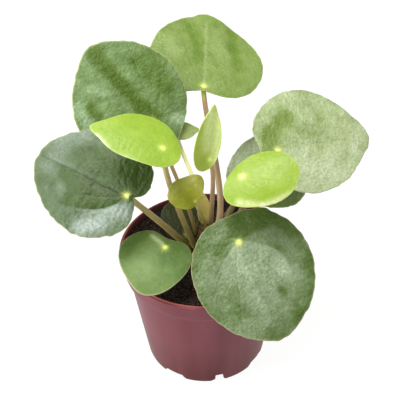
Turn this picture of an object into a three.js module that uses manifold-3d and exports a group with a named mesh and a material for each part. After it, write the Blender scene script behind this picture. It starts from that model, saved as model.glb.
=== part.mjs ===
// A money plant in its nursery pot: round blades on long stalks, all from one short trunk.
// Millimetres, +Z up. The origin is the middle of the pot's flat underside, and -Y is the front.
// Azimuths are in degrees from the front, positive towards +X.
import * as THREE from 'three';
import { mergeVertices } from 'three/addons/utils/BufferGeometryUtils.js';
import Module from 'manifold-3d';

const wasm = await Module();
wasm.setup();

// Clearance between neighbouring pieces
const GAP = 0.3;

// Pot: a tapered wall under a proud rim band, which widens a little to its lip, on a flat floor
const pot = {
  rimRadius: 60,
  height: 93.5,
  baseRadius: 43,
  shoulderRadius: 54.4,
  bandRadius: 57,
  bandTopRadius: 59,
  bandHeight: 16,
  lipHeight: 2,
  // Heights of the band's step over its bottom, outside and at both ends of its inside
  stepHeight: 1,
  innerStep: [-0.2, 2.2],
  wall: 1.5,
  floor: 2,
  sides: 54,
};

// Drainage slots through the bottom corner: tall narrow ones and low wide ones in turn
const slots = {
  count: 8,
  firstAzimuth: 12,
  narrow: { width: 6, height: 7.2, depth: 8 },
  wide: { width: 14, height: 3.2, depth: 6 },
};

// Soil: below the rim, lower towards the back right, higher along the pot's wall, and clear of
// the slots at the bottom
const soil = {
  level: 86.2,
  edgeRise: 4,
  fall: 2.5,
  unevenness: 0.8,
  footRadius: 33,
  footRise: 8.2,
  chamfer: 3,
};

// Trunk: upright in its hole, then leaning to the right above the soil
const trunk = {
  foot: new THREE.Vector2(-4, 0),
  top: new THREE.Vector2(2, 1),
  topHeight: 113,
  buriedDepth: 18,
  footRadius: 6,
  topRadius: 4.8,
  sides: 16,
};

const bladeThickness = 0.9;
// Softness of a folded blade's crease and widths, in radians, of its point and notch
const creaseRadius = 3;
const pointWidth = 0.35;

// One entry for each leaf. The blade is given by the place of its stalk, the azimuth and
// elevation that it faces, the turn of its point from straight down, and its length and width.
// stalk: how far the blade's middle lies beyond the stalk, in half lengths. egg: widening
// towards the notch. side: widening of its left half. shift: sideways move of the outline.
// lobes: share by which a three-lobed wave widens the outline, towards the point and beside it.
// arch and crown: drop of the rim along and across. fold: degrees that each half folds up.
// root: where the stalk leaves the trunk. spread and lift turn it outwards and upwards there,
// and at the blade bend turns it square to the blade, and sway brings it in from the right.
const leaves = [
  {
    name: 'back_left', color: 0x5c7f4c,
    at: [-33, 40, 174.8], faces: [0, 41], turn: -141, length: 80.5, width: 79.5,
    stalk: 0.54, egg: -0.07, side: 0.05, point: 4.7, notch: -3.4, shift: 1.4,
    lobes: [0.024, -0.006], arch: 3, crown: 3, fold: 0, ripple: 0.8,
    root: { azimuth: -113, height: 104, spread: 0, lift: 1 }, stalkWidth: [3, 2.5],
  },
  {
    name: 'left', color: 0x587a55,
    at: [-50, -14, 154.6], faces: [-20, 57], turn: -105, length: 84.5, width: 77,
    stalk: 0.61, egg: -0.1, side: 0, point: 2, notch: 10, shift: 1.1,
    lobes: [0.049, 0.01], arch: 4, crown: 4, fold: 0, ripple: 0.8,
    root: { azimuth: -90, height: 91, spread: 0, lift: 0.2, bend: 0 }, stalkWidth: [4.6, 4],
  },
  {
    name: 'lime_left', color: 0xb5d94f,
    at: [-25.2, -8, 189.1], faces: [31, 69], turn: -139, length: 54, width: 38.5,
    stalk: 0.56, egg: 0, side: -0.29, point: 8, notch: -0.9, shift: 2,
    lobes: [-0.004, -0.006], arch: 2, crown: 3, fold: 0, ripple: 0.3,
    root: { azimuth: -66, height: 97.3, spread: 0.1, bend: 1.3 }, stalkWidth: [4.4, 3.6],
  },
  {
    name: 'top', color: 0x82a55a,
    at: [2.4, 62.8, 186.9], faces: [42, 73], turn: 135, length: 79.5, width: 82,
    stalk: 0.71, egg: 0.13, side: -0.04, point: 5.3, notch: 8, shift: 1.7,
    lobes: [-0.008, 0.015], arch: 2.1, crown: 2.1, fold: 0, ripple: 0.8,
    root: { azimuth: 105, height: 101, spread: 0.6, lift: -0.8, bend: 0.1 }, stalkWidth: [5, 3.4],
  },
  {
    name: 'olive_small', color: 0x969b37,
    at: [-4.9, -26, 158.2], faces: [13, 54], turn: -149, length: 20, width: 27,
    stalk: 0.82, egg: -0.19, side: -0.2, point: 1.3, notch: 0, shift: 1.9,
    lobes: [0, 0], arch: 1, crown: 0, fold: 0, ripple: 0.2, small: true,
    root: { onTop: [0, -2.6] }, stalkWidth: [2.2, 1.8],
  },
  {
    name: 'folded', color: 0x9ab555,
    at: [5, -5, 176.6], faces: [11, 21], turn: 164, length: 42, width: 20,
    stalk: 0.57, egg: 0.12, side: 0.06, point: 4, notch: 0, shift: 3.9,
    lobes: [0, 0], arch: 2, crown: 0, fold: 25, ripple: 0.2, small: true,
    root: { onTop: [3.1, -1], bend: 0.2, sway: 0.35 }, stalkWidth: [3.4, 3],
  },
  {
    name: 'behind', color: 0x8aa85a,
    at: [-17.6, 40, 166.2], faces: [19, 61], turn: 83, length: 19, width: 13.5,
    stalk: 0.5, egg: 0, side: 0, point: 3, notch: 0, shift: 0,
    lobes: [0, 0], arch: 1, crown: 1, fold: 0, ripple: 0.2, small: true,
    root: { onTop: [1.6, 3], lift: 0.6, bend: 1 }, stalkWidth: [3, 2.8],
  },
  {
    name: 'lime_right', color: 0xb5d94f,
    at: [25.4, -18, 172], faces: [-32, 66], turn: 138, length: 51.5, width: 37,
    stalk: 0.4, egg: -0.12, side: 0.09, point: 1.3, notch: 0, shift: -8,
    lobes: [-0.015, 0.006], arch: 2, crown: 3, fold: 0, ripple: 0.3,
    root: { azimuth: 51, height: 100.3 }, stalkWidth: [3.6, 3],
  },
  {
    name: 'front_left', color: 0x789b55,
    at: [-26.1, -28, 120.6], faces: [-4, 68], turn: -23, length: 46.5, width: 49.5,
    stalk: 0.51, egg: 0.12, side: -0.1, point: 1.3, notch: 4.5, shift: -1.1,
    lobes: [0.009, 0.017], arch: 3, crown: 3, fold: 0, ripple: 0.4,
    root: { azimuth: -6, height: 90 }, stalkWidth: [3.6, 3],
  },
  {
    name: 'front_right', color: 0x708f62,
    at: [22.8, -38, 133.1], faces: [2, 46], turn: 22, length: 88, width: 81,
    stalk: 0.52, egg: 0, side: 0.03, point: 2.6, notch: 2.5, shift: -0.2,
    lobes: [0.011, 0.003], arch: 4, crown: 3, fold: 0, ripple: 0.8,
    root: { azimuth: 18, height: 97 }, stalkWidth: [4.8, 4.2],
  },
  {
    name: 'youngest', color: 0xa5a545,
    at: [-0.1, 2, 119], faces: [23, 25], turn: 171, length: 21, width: 11,
    stalk: 0.63, egg: 0, side: 0, point: 2.5, notch: 0, shift: 0,
    lobes: [0, 0], arch: 1, crown: 0, fold: 30, ripple: 0, small: true,
    root: { onTop: [-0.8, 1.8] }, stalkWidth: [1.8, 1.6],
  },
  {
    name: 'low_right', color: 0x55704a,
    at: [37, 40, 123], faces: [22, 54], turn: 63, length: 58.5, width: 55.5,
    stalk: 0.31, egg: 0, side: 0.29, point: 1.7, notch: 0, shift: 0,
    lobes: [0, 0], arch: 2, crown: 2, fold: 0, ripple: 0.5,
    root: { azimuth: 150, height: 91 }, stalkWidth: [4, 3.4],
  },
  {
    name: 'right', color: 0x96af78,
    at: [51.6, 25, 159.1], faces: [23, 59], turn: 82, length: 80, width: 78,
    stalk: 0.55, egg: -0.05, side: 0.11, point: 7.5, notch: 6.5, shift: 1.1,
    lobes: [0.009, 0.013], arch: 3, crown: 3, fold: 0, ripple: 0.8,
    root: { azimuth: 80, height: 91 }, stalkWidth: [4.4, 3.8],
  },
  {
    name: 'low_left', color: 0x3f5a3e,
    at: [-11.5, 9, 97.5], faces: [-19, 46], turn: -137, length: 31, width: 27,
    stalk: 0.76, egg: -0.06, side: -0.06, point: 0, notch: 0, shift: 0,
    lobes: [0, 0], arch: 1.5, crown: 1.5, fold: 0, ripple: 0.2, small: true,
    root: { azimuth: -150, height: 90 }, stalkWidth: [2.8, 2.4],
  },
];

const plant = new THREE.Group();

function addPiece(name, geometry, color, roughness) {
  const material = new THREE.MeshStandardMaterial({ color, roughness, metalness: 0 });
  const mesh = new THREE.Mesh(geometry, material);
  mesh.name = name;
  plant.add(mesh);
}

function fromAzimuth(degrees) {
  const angle = THREE.MathUtils.degToRad(degrees);
  return new THREE.Vector3(Math.sin(angle), -Math.cos(angle), 0);
}

// Closed body through rings of points, from one middle point to another. From ring
// flipFrom on, the quads are split along their other diagonal.
function loft(rings, first, last, flipFrom = rings.length) {
  const count = rings[0].length;
  const points = [first, ...rings.flat(), last];
  const end = points.length - 1;
  const index = [];
  const at = (ring, step) => 1 + ring * count + (step % count);
  for (let step = 0; step < count; step += 1) {
    index.push(0, at(0, step + 1), at(0, step));
    for (let ring = 0; ring < rings.length - 1; ring += 1) {
      const a = at(ring, step);
      const b = at(ring, step + 1);
      const c = at(ring + 1, step + 1);
      const d = at(ring + 1, step);
      if (ring < flipFrom) {
        index.push(a, b, c, a, c, d);
      } else {
        index.push(a, b, d, b, c, d);
      }
    }
    index.push(end, at(rings.length - 1, step), at(rings.length - 1, step + 1));
  }
  const geometry = new THREE.BufferGeometry().setFromPoints(points);
  geometry.setIndex(index);
  geometry.computeVertexNormals();
  return geometry;
}

function toSolid(geometry) {
  const bare = geometry.clone();
  bare.deleteAttribute('normal');
  bare.deleteAttribute('uv');
  const merged = mergeVertices(bare, 1e-4);
  const vertProperties = new Float32Array(merged.attributes.position.array);
  const triVerts = new Uint32Array(merged.index.array);
  return new wasm.Manifold(new wasm.Mesh({ numProp: 3, vertProperties, triVerts }));
}

function toGeometry(solid) {
  const mesh = solid.getMesh();
  const geometry = new THREE.BufferGeometry();
  geometry.setAttribute('position', new THREE.BufferAttribute(mesh.vertProperties, 3));
  geometry.setIndex(new THREE.BufferAttribute(mesh.triVerts, 1));
  geometry.computeVertexNormals();
  return geometry;
}

// Turned body about +Z from a profile of [radius, height] pairs that starts and ends on the axis
function turned(profile, sides) {
  const points = profile.map(([radius, height]) => new THREE.Vector2(radius, height));
  return new THREE.LatheGeometry(points, sides).rotateX(Math.PI / 2);
}

// Radius of the pot's tapered outside at a height below the band
function wallRadius(height) {
  const part = height / (pot.height - pot.bandHeight);
  return THREE.MathUtils.lerp(pot.baseRadius, pot.shoulderRadius, part);
}

// Radius of the band's outside at a height above its step
function bandRadius(height) {
  const bottom = pot.height - pot.bandHeight + pot.stepHeight;
  const part = (height - bottom) / (pot.height - pot.lipHeight - bottom);
  return THREE.MathUtils.lerp(pot.bandRadius, pot.bandTopRadius, part);
}

function potBody() {
  const bandBottom = pot.height - pot.bandHeight;
  const lipBottom = pot.height - pot.lipHeight;
  const profile = [
    [0, 0],
    [pot.baseRadius, 0],
    [pot.shoulderRadius, bandBottom],
    [pot.bandRadius, bandBottom + pot.stepHeight],
    [pot.bandTopRadius, lipBottom],
    [pot.rimRadius, lipBottom + 0.5],
    [pot.rimRadius, pot.height - 0.5],
    [pot.rimRadius - 0.5, pot.height],
    [bandRadius(pot.height) - pot.wall, pot.height],
    [pot.bandRadius - pot.wall, bandBottom + pot.innerStep[1]],
    [pot.shoulderRadius - pot.wall, bandBottom + pot.innerStep[0]],
    [wallRadius(pot.floor) - pot.wall, pot.floor],
    [0, pot.floor],
  ];
  return toSolid(turned(profile, pot.sides));
}

function slotCutter(azimuth, size) {
  const box = new THREE.BoxGeometry(size.width, 2 * size.depth, 2 * size.height);
  const middle = fromAzimuth(azimuth).multiplyScalar(pot.baseRadius);
  box.rotateZ(THREE.MathUtils.degToRad(azimuth));
  box.translate(middle.x, middle.y, 0);
  return toSolid(box);
}

function addPot() {
  let body = potBody();
  for (let slot = 0; slot < slots.count; slot += 1) {
    const azimuth = slots.firstAzimuth + (360 / slots.count) * slot;
    const size = slot % 2 === 0 ? slots.narrow : slots.wide;
    body = body.subtract(slotCutter(azimuth, size));
  }
  addPiece('pot', toGeometry(body), 0x84555c, 0.45);
}

// Radius of the soil where its top meets the pot
function soilEdge() {
  return bandRadius(soil.level - soil.fall + soil.edgeRise) - pot.wall - GAP;
}

// Soil level at a point: it falls towards the back right, rises to the pot and is gently uneven
function soilLevel(x, y) {
  const fall = (soil.fall * (x + y)) / (2 * pot.shoulderRadius);
  const rise = soil.edgeRise * (Math.hypot(x, y) / soilEdge()) ** 6;
  const waves = Math.sin(x / 7 + 1) * Math.cos(y / 8) + Math.sin((x - y) / 11);
  return soil.level - fall + rise + (soil.unevenness * waves) / 2;
}

function soilBody() {
  const bandBottom = pot.height - pot.bandHeight;
  const edge = soilEdge();
  const inside = (height) => wallRadius(height) - pot.wall - GAP;
  const profile = [
    [0, pot.floor + GAP],
    [soil.footRadius, pot.floor + GAP],
    [soil.footRadius + soil.chamfer, soil.footRise],
    [inside(soil.footRise), soil.footRise],
    [inside(bandBottom + pot.innerStep[0]), bandBottom + pot.innerStep[0]],
    [pot.bandRadius - pot.wall - GAP, bandBottom + pot.innerStep[1] + GAP],
    [edge, soil.level],
    [edge * 0.8, soil.level],
    [edge * 0.6, soil.level],
    [edge * 0.4, soil.level],
    [edge * 0.2, soil.level],
    [0, soil.level],
  ];
  const body = turned(profile, pot.sides);
  const position = body.attributes.position;
  for (let i = 0; i < position.count; i += 1) {
    if (position.getZ(i) > soil.level - 0.01) {
      position.setZ(i, soilLevel(position.getX(i), position.getY(i)));
    }
  }
  return toSolid(body);
}

function addSoil() {
  const radius = trunk.footRadius + GAP;
  const hole = new THREE.CylinderGeometry(radius, radius, 2 * trunk.buriedDepth, trunk.sides);
  hole.rotateX(Math.PI / 2);
  hole.translate(trunk.foot.x, trunk.foot.y, soil.level);
  addPiece('soil', toGeometry(soilBody().subtract(toSolid(hole))), 0x2a1f1b, 0.95);
}

// How far up the leaning stretch of the trunk a height lies, from 0 to 1
function trunkPart(height) {
  const leanStart = soil.level + 1;
  return THREE.MathUtils.clamp((height - leanStart) / (trunk.topHeight - leanStart), 0, 1);
}

function trunkMiddle(height) {
  const middle = trunk.foot.clone().lerp(trunk.top, trunkPart(height));
  return new THREE.Vector3(middle.x, middle.y, height);
}

function trunkRadius(height) {
  return THREE.MathUtils.lerp(trunk.footRadius, trunk.topRadius, trunkPart(height));
}

function addTrunk() {
  const bottom = soil.level - trunk.buriedDepth + GAP;
  const heights = [bottom, soil.level + 1, 92, 99, 106, trunk.topHeight];
  const rings = heights.map((height) => {
    const ring = [];
    for (let side = 0; side < trunk.sides; side += 1) {
      const out = fromAzimuth((360 / trunk.sides) * side);
      ring.push(trunkMiddle(height).addScaledVector(out, trunkRadius(height)));
    }
    return ring;
  });
  addPiece('trunk', loft(rings, trunkMiddle(bottom), trunkMiddle(trunk.topHeight)), 0x7a5a45, 0.8);
}

// Directions of a blade: out of its face, towards its point, and towards its left side
function bladeFrame(leaf) {
  const elevation = THREE.MathUtils.degToRad(leaf.faces[1]);
  const turn = THREE.MathUtils.degToRad(leaf.turn);
  const out = fromAzimuth(leaf.faces[0]);
  const face = out.clone().multiplyScalar(Math.cos(elevation));
  face.z = Math.sin(elevation);
  const down = out.clone().multiplyScalar(Math.sin(elevation));
  down.z = -Math.cos(elevation);
  const across = face.clone().cross(down);
  const tip = down.multiplyScalar(Math.cos(turn)).addScaledVector(across, Math.sin(turn));
  const left = face.clone().cross(tip);
  return { face, tip, left };
}

// Outline of a flat blade at an angle from its point, as [along, across]
function bladeOutline(leaf, angle) {
  const fromPoint = Math.min(angle, 2 * Math.PI - angle);
  const fromNotch = Math.PI - fromPoint;
  const along = (leaf.length / 2) * (leaf.stalk + Math.cos(angle))
    + leaf.point * Math.exp(-((fromPoint / pointWidth) ** 2))
    + leaf.notch * Math.exp(-((fromNotch / pointWidth) ** 2));
  const half = (leaf.width / 2) * (1 - leaf.egg * Math.cos(angle));
  const across = leaf.shift + half * (Math.sin(angle) + leaf.side * Math.sin(angle) ** 2);
  const wave = 1 + leaf.lobes[0] * Math.cos(3 * angle) + leaf.lobes[1] * Math.sin(3 * angle);
  return [along * wave, across * wave];
}

// Height of the blade's middle surface over its flat form
function bladeHeight(leaf, along, across) {
  const half = leaf.length / 2;
  const alongPart = along / half - leaf.stalk;
  const acrossPart = across / (leaf.width / 2);
  const fold = Math.sin(THREE.MathUtils.degToRad(leaf.fold));
  return fold * (Math.hypot(across, creaseRadius) - creaseRadius)
    - leaf.arch * (alongPart ** 2 - leaf.stalk ** 2)
    - leaf.crown * acrossPart ** 2;
}

// Point of the blade at a part of the way from the stalk to the rim, raised off the middle surface
function bladePoint(leaf, angle, part, raise) {
  const { face, tip, left } = bladeFrame(leaf);
  const [along, across] = bladeOutline(leaf, angle).map((size) => size * part);
  const ripple = leaf.ripple * part ** 3 * Math.sin(5 * angle + leaf.turn);
  const height = bladeHeight(leaf, along, across) + ripple + raise;
  const foldedAcross = across * Math.cos(THREE.MathUtils.degToRad(leaf.fold));
  return new THREE.Vector3(...leaf.at)
    .addScaledVector(tip, along)
    .addScaledVector(left, foldedAcross)
    .addScaledVector(face, height);
}

function addBlade(leaf) {
  const steps = leaf.small ? 20 : 28;
  const parts = leaf.small ? [0.4, 0.75, 1] : [0.3, 0.6, 0.85, 1];
  const ring = (part, raise) => {
    const points = [];
    for (let step = 0; step < steps; step += 1) {
      points.push(bladePoint(leaf, (2 * Math.PI * step) / steps, part, raise));
    }
    return points;
  };
  const under = parts.map((part) => ring(part, -bladeThickness / 2));
  const over = parts.map((part) => ring(part, bladeThickness / 2)).reverse();
  const first = bladePoint(leaf, 0, 0, -bladeThickness / 2);
  const last = bladePoint(leaf, 0, 0, bladeThickness / 2);
  const geometry = loft([...under, ...over], first, last, parts.length);
  addPiece(`blade_${leaf.name}`, geometry, leaf.color, 0.5);
}

// Where a stalk leaves the trunk, and the direction square to the trunk's surface there
function stalkRoot(root) {
  if (root.onTop) {
    const start = trunkMiddle(trunk.topHeight);
    start.x += root.onTop[0];
    start.y += root.onTop[1];
    start.z += GAP;
    return { start, square: new THREE.Vector3(0, 0, 1) };
  }
  const out = fromAzimuth(root.azimuth);
  const onSurface = (height) => trunkMiddle(height).addScaledVector(out, trunkRadius(height));
  const start = onSurface(root.height);
  const slope = onSurface(root.height + 1).sub(start).dot(out);
  const square = out.clone().setZ(-slope).normalize();
  return { start: start.addScaledVector(square, GAP), square };
}

// Square to the underside of the blade at its stalk
function underside(leaf) {
  const { face, tip } = bladeFrame(leaf);
  const slope = (2 * leaf.arch * leaf.stalk) / (leaf.length / 2);
  return face.addScaledVector(tip, -slope).normalize();
}

function addStalk(leaf) {
  const sides = 8;
  const steps = 11;
  const obliqueLength = 9;
  const { start, square } = stalkRoot(leaf.root);
  const top = underside(leaf);
  const end = new THREE.Vector3(...leaf.at).addScaledVector(top, -bladeThickness / 2 - GAP);
  const chord = end.clone().sub(start);
  const reach = chord.length();
  const { spread = 0.35, lift = 0, bend = 0.5, sway = 0 } = leaf.root;
  const leave = chord.clone().normalize().addScaledVector(square, spread);
  leave.z += lift;
  leave.normalize();
  const arrive = chord.clone().normalize().addScaledVector(top, bend);
  arrive.x -= sway;
  arrive.normalize();
  const path = new THREE.CubicBezierCurve3(
    start,
    start.clone().addScaledVector(leave, 0.3 * reach),
    end.clone().addScaledVector(arrive, -0.25 * reach),
    end,
  );
  const blend = Math.min(obliqueLength, reach / 3);
  const rings = [];
  for (let step = 0; step <= steps; step += 1) {
    const part = step / steps;
    const middle = path.getPointAt(part);
    const along = path.getTangentAt(part);
    const nearStart = Math.max(0, 1 - (part * reach) / blend);
    const nearEnd = Math.max(0, 1 - ((1 - part) * reach) / blend);
    const plane = along.clone().multiplyScalar(1 - nearStart - nearEnd);
    plane.addScaledVector(square, nearStart).addScaledVector(top, nearEnd).normalize();
    const radius = THREE.MathUtils.lerp(leaf.stalkWidth[0], leaf.stalkWidth[1], part) / 2;
    rings.push(obliqueRing(middle, along, plane, radius, sides));
  }
  addPiece(`stalk_${leaf.name}`, loft(rings, start, end), 0xa88e58, 0.55);
}

// Ring of a round bar of the given radius, cut by a plane that may be oblique to the bar
function obliqueRing(middle, along, plane, radius, sides) {
  const first = new THREE.Vector3(0.6, -0.8, 0).cross(along).normalize();
  const second = along.clone().cross(first);
  const ring = [];
  for (let side = 0; side < sides; side += 1) {
    const angle = (2 * Math.PI * side) / sides;
    const offset = first.clone().multiplyScalar(radius * Math.cos(angle));
    offset.addScaledVector(second, radius * Math.sin(angle));
    offset.addScaledVector(along, -offset.dot(plane) / along.dot(plane));
    ring.push(middle.clone().add(offset));
  }
  return ring;
}

addPot();
addSoil();
addTrunk();
for (const leaf of leaves) {
  addBlade(leaf);
  addStalk(leaf);
}

export default plant;
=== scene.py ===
# %% [markdown]
# # A Chinese money plant in its nursery pot
# The frame is the plain model of the plant: a closed solid for the pot, the soil, the trunk and
# each blade and stalk. This lesson dresses it. Each blade is modelled again with a fine, puckered
# skin and a rounded rim, the stalks grow into what carries them, the soil gets its crumbs, and
# the pot its moulded edges. Every new piece lies where its plain solid lies.

# %% Load the frame
import math

import bpy
import numpy as np
from mathutils import Matrix, Vector


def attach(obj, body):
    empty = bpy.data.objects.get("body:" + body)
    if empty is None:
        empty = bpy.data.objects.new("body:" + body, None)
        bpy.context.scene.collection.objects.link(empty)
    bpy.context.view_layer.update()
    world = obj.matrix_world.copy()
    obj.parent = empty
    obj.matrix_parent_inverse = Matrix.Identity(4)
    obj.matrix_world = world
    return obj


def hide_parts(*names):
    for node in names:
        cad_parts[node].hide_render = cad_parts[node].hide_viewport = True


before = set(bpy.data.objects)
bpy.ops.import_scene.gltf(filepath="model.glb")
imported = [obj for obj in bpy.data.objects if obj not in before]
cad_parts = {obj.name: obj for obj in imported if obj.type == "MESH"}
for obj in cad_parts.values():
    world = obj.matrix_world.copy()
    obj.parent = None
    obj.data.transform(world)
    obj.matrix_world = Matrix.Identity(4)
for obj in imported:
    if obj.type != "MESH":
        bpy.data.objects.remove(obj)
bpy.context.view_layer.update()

MM = 0.001
print("nodes in the frame:", len(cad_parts))

# %% [markdown]
# ## The camera
# The photograph looks down on the plant at about 40 degrees from a little under a metre away,
# with a long lens. The camera's axes are worked out from that angle and set as its matrix, so it
# needs no target object and no constraint.

# %% Place the camera
CAMERA_DISTANCE = 818 * MM
CAMERA_ELEVATION = math.radians(40.6)
CAMERA_ROLL = math.radians(-1.4)
CAMERA_TARGET = Vector((-2, 0, 137.5)) * MM

back = Vector((0, -math.cos(CAMERA_ELEVATION), math.sin(CAMERA_ELEVATION)))
level_right = Vector((1, 0, 0))
level_up = back.cross(level_right)
right = math.cos(CAMERA_ROLL) * level_right + math.sin(CAMERA_ROLL) * level_up
up = back.cross(right)
bpy.ops.object.camera_add()
camera = bpy.context.object
camera.name = "camera"
camera.data.lens = 108
camera.data.sensor_width = 36
axes = Matrix((right, up, back)).transposed().to_4x4()
camera.matrix_world = Matrix.Translation(CAMERA_TARGET + back * CAMERA_DISTANCE) @ axes
bpy.context.scene.camera = camera
print("camera at", [round(value, 3) for value in camera.matrix_world.translation])

# %% [markdown]
# ## Helpers for materials
# Colours are given as sRGB hex values, as in any paint program, but a shader wants linear ones,
# so one function turns them. Another adds a node, sets it and links it in one line, which keeps a
# long node tree readable. The last one starts a material from how rough it is and how it bends
# light.

# %% Colours and nodes
MIX_A, MIX_B, MIX_RESULT = 6, 7, 2


def linear(hex_colour):
    """An sRGB colour such as "6e8f4c" as linear red, green, blue and alpha."""
    parts = [int(hex_colour[i:i + 2], 16) / 255 for i in (0, 2, 4)]
    return [*(p / 12.92 if p <= 0.04045 else ((p + 0.055) / 1.055) ** 2.4 for p in parts), 1]


def add_node(tree, kind, settings=(), inputs=()):
    """Adds a shader node with its settings, and with a value or another node's output for each of
    its inputs. Gives its outputs. kind is Blender's name for the node without ShaderNode."""
    node = tree.nodes.new(f"ShaderNode{kind}")
    for name, value in dict(settings).items():
        setattr(node, name, value)
    for name, value in dict(inputs).items():
        if isinstance(value, bpy.types.NodeSocket):
            tree.links.new(value, node.inputs[name])
        else:
            node.inputs[name].default_value = value
    return node.outputs


def new_material(name, roughness, ior=1.45):
    """A new material, its node tree and its main shader."""
    material = bpy.data.materials.new(name)
    material.use_nodes = True
    tree = material.node_tree
    shader = tree.nodes["Principled BSDF"]
    shader.inputs["Roughness"].default_value = roughness
    shader.inputs["IOR"].default_value = ior
    return material, tree, shader


print("red of a lime leaf, linear:", round(linear("b5d94f")[0], 3))

# %% [markdown]
# ## One way to make grown shapes
# A blade, a stalk, the trunk and the soil can all be seen as a flat sheet that is rolled up. So
# each of them starts as a grid primitive: its columns go round the piece and its rows go along it.
# A function then gives every vertex its place. Merging closes the ends, and also the seam, where
# the first and the last column come out at one place. The same function can leave marks on the
# vertices, which the materials read later.

# %% Roll a grid into a closed piece
def deselect():
    if bpy.context.object and bpy.context.object.mode != "OBJECT":
        bpy.ops.object.mode_set(mode="OBJECT")
    bpy.ops.object.select_all(action="DESELECT")


def roll_grid(name, columns, rows, place):
    """place(turn, row) takes arrays, with turn from 0 to 1 round the piece and row counted from
    its start. It gives an array of points in mm, and marks with one or three values each."""
    deselect()
    bpy.ops.mesh.primitive_grid_add(x_subdivisions=columns, y_subdivisions=rows - 1, size=1)
    piece = bpy.context.object
    piece.name = piece.data.name = name
    mesh = piece.data
    flat = np.empty(len(mesh.vertices) * 3)
    mesh.vertices.foreach_get("co", flat)
    flat = flat.reshape(-1, 3) + 0.5
    points, marks = place(flat[:, 0], np.rint(flat[:, 1] * (rows - 1)).astype(int))
    mesh.vertices.foreach_set("co", (points * MM).ravel())
    for label, values in marks.items():
        kind, field = ("FLOAT", "value") if len(values) == 1 else ("FLOAT_VECTOR", "vector")
        layer = mesh.attributes.new(label, kind, "POINT")
        layer.data.foreach_set(field, np.column_stack(values).ravel())
    bpy.ops.object.mode_set(mode="EDIT")
    bpy.ops.mesh.select_all(action="SELECT")
    bpy.ops.mesh.remove_doubles(threshold=0.002 * MM)
    bpy.ops.mesh.normals_make_consistent(inside=False)
    bpy.ops.object.mode_set(mode="OBJECT")
    bpy.ops.object.shade_smooth()
    return piece


def hills(x, y, size, seed):
    """Smooth random hills about -1 to 1 high and size mm apart: many waves in seeded directions."""
    draw = np.random.default_rng(seed)
    total = np.zeros_like(x)
    waves = 18
    for _ in range(waves):
        heading, phase = draw.uniform(0, 2 * np.pi, 2)
        pace = 2 * np.pi / size * draw.uniform(0.6, 1.3)
        total += np.sin(pace * (x * np.cos(heading) + y * np.sin(heading)) + phase)
    return total / math.sqrt(waves)


def dress(piece, node, material):
    """Puts a finished piece in the place of a plain solid."""
    piece.data.materials.append(material)
    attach(piece, "root")
    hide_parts(node)


print("hills at three points:", hills(np.array([0.0, 3, 9]), np.zeros(3), 6, 1).round(2))

# %% [markdown]
# ## The leaves' sizes
# Each leaf is given in mm and degrees, as a gardener would measure it: where its stalk meets the
# blade, which way the blade faces, how far its point is turned from straight down, its length and
# width, and then the small things that make it itself. They are the plain model's values, because
# a dressed blade has to lie exactly where its solid is.

# %% Leaf table
LEAVES = {}


def leaf(name, at, faces, turn, size, **more):
    """at: where the stalk joins. faces: azimuth and elevation of the way the blade faces. turn:
    how far its point is turned from straight down. size: length and width.
    stalk: share of the length behind the stalk. egg, side, lobes: how far it is from an ellipse.
    point, notch, shift: mm added at the tip, at the base and to one side. arch, crown, ripple: mm
    that the face falls along it and across it, and waves at its rim. fold: degrees at the midrib.
    root: how the stalk leaves the trunk. thick: the stalk's thickness at its foot and its top.
    puckered, veined: share of the relief. swells: angle, width and height of each bulge or nick."""
    plain = dict(stalk=0.5, egg=0, side=0, point=0, notch=0, shift=0, lobes=(0, 0), arch=1,
                 crown=1, fold=0, ripple=0.2, root={}, thick=(3, 2.5), puckered=0.2, veined=1,
                 swells=())
    LEAVES[name] = {**plain, "at": np.array(at, float), "faces": faces, "turn": turn,
                    "length": size[0], "width": size[1], **more}


leaf("back_left", (-33, 40, 174.8), (0, 41), -141, (80.5, 79.5), stalk=0.54, egg=-0.07,
     side=0.05, point=4.7, notch=-3.4, shift=1.4, lobes=(0.024, -0.006), arch=3, crown=3,
     ripple=0.8, root=dict(azimuth=-113, height=104, spread=0, lift=1), puckered=0.7)
leaf("left", (-50, -14, 154.6), (-20, 57), -105, (84.5, 77), stalk=0.61, egg=-0.1,
     point=2, notch=10, shift=1.1, lobes=(0.049, 0.01), arch=4, crown=4, ripple=0.8,
     root=dict(azimuth=-90, height=91, spread=0, lift=0.2, bend=0), thick=(4.6, 4), puckered=1.1,
     swells=((183.5, 3.5, -3.2), (194, 7, 2), (170, 6, 1.2)))
leaf("lime_left", (-25.2, -8, 189.1), (31, 69), -139, (54, 38.5), stalk=0.56, veined=0.2,
     side=-0.29, point=8, notch=-0.9, shift=2, lobes=(-0.004, -0.006), arch=2, crown=3,
     ripple=0.3, root=dict(azimuth=-66, height=97.3, spread=0.1, bend=1.3), thick=(4.4, 3.6))
leaf("top", (2.4, 62.8, 186.9), (42, 73), 135, (79.5, 82), stalk=0.71, egg=0.13, side=-0.04,
     point=5.3, notch=8, shift=1.7, lobes=(-0.008, 0.015), arch=2.1, crown=2.1, ripple=0.8,
     root=dict(azimuth=105, height=101, spread=0.6, lift=-0.8, bend=0.1), thick=(5, 3.4),
     puckered=0.55, veined=0.5, swells=((17.5, 4, -1.1), (27, 5, 0.6)))
leaf("olive_small", (-4.9, -26, 158.2), (13, 54), -149, (20, 27), stalk=0.82, egg=-0.19,
     side=-0.2, point=1.3, shift=1.9, crown=0, root=dict(on_top=(0, -2.6)), thick=(2.2, 1.8))
leaf("folded", (5, -5, 176.6), (11, 21), 164, (42, 20), stalk=0.57, egg=0.12, side=0.06,
     point=4, shift=3.9, arch=2, crown=0, fold=25, thick=(3.4, 3),
     root=dict(on_top=(3.1, -1), bend=0.2, sway=0.35))
leaf("behind", (-17.6, 40, 166.2), (19, 61), 83, (19, 13.5), point=3,
     root=dict(on_top=(1.6, 3), lift=0.6, bend=1), thick=(3, 2.8))
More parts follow.
